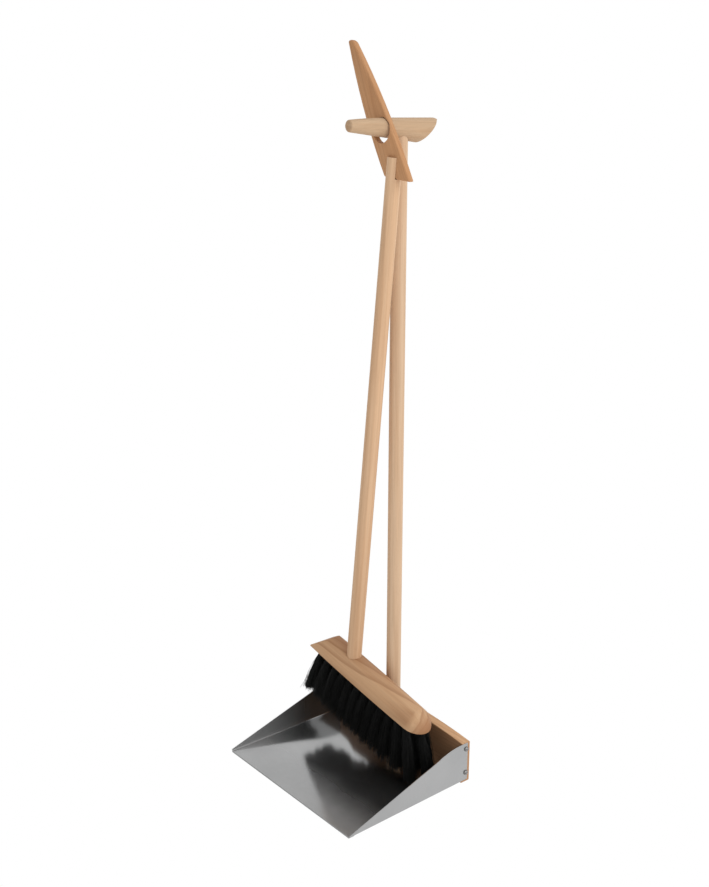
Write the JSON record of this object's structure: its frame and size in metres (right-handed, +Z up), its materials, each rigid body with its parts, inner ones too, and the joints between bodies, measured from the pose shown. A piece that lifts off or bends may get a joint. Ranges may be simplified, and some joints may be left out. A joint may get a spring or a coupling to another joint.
{
  "type": "dust pan and brush set",
  "caption": "Standing steel dust pan with a wooden back board, pole and peg handle, and a long-handled brush that hangs on the peg and slides off it.",
  "frame": {"origin": "middle of the back board's underside, on the floor", "axes": "+Z up, -Y from the back board to the pan's lip, +X across the pan to the right seen from the lip"},
  "size_m": [0.2814, 0.2522, 1.0049],
  "materials": {
    "steel_sheet": "smooth, softly reflecting",
    "plated_steel": "zinc plated",
    "birch": "oiled, satin",
    "bristle": "dull black"
  },
  "bodies": {
    "pan": {"pan_sheet": "steel_sheet", "back_board": "birch", "pan_pole": "birch", "peg_handle": "birch", "side_screw_right_lower": "plated_steel", "side_screw_right_upper": "plated_steel", "side_screw_left_lower": "plated_steel", "side_screw_left_upper": "plated_steel", "floor_screw_1": "plated_steel", "floor_screw_2": "plated_steel", "floor_screw_3": "plated_steel", "floor_screw_4": "plated_steel", "pole_screw_1": "plated_steel", "pole_screw_2": "plated_steel"},
    "brush": {"blade": "birch", "brush_stick": "birch", "blade_nail_1": "plated_steel", "blade_nail_2": "plated_steel", "brush_head": "birch", "head_screw": "plated_steel", "tuft_a01": "bristle", "tuft_a02": "bristle", "tuft_a03": "bristle", "tuft_a04": "bristle", "tuft_a05": "bristle", "tuft_a06": "bristle", "tuft_a07": "bristle", "tuft_a08": "bristle", "tuft_a09": "bristle", "tuft_a10": "bristle", "tuft_a11": "bristle", "tuft_a12": "bristle", "tuft_b01": "bristle", "tuft_b02": "bristle", "tuft_b03": "bristle", "tuft_b04": "bristle", "tuft_b05": "bristle", "tuft_b06": "bristle", "tuft_b07": "bristle", "tuft_b08": "bristle", "tuft_b09": "bristle", "tuft_b10": "bristle", "tuft_b11": "bristle", "tuft_b12": "bristle", "tuft_c01": "bristle", "tuft_c02": "bristle", "tuft_c03": "bristle", "tuft_c04": "bristle", "tuft_c05": "bristle", "tuft_c06": "bristle", "tuft_c07": "bristle", "tuft_c08": "bristle", "tuft_c09": "bristle", "tuft_c10": "bristle", "tuft_c11": "bristle", "tuft_c12": "bristle"}
  },
  "joints": [
    {"name": "brush_off_peg", "type": "slide", "parent": "pan", "child": "brush", "axis": [0, -1, 0], "range_m": [0, 0.12]}
  ]
}
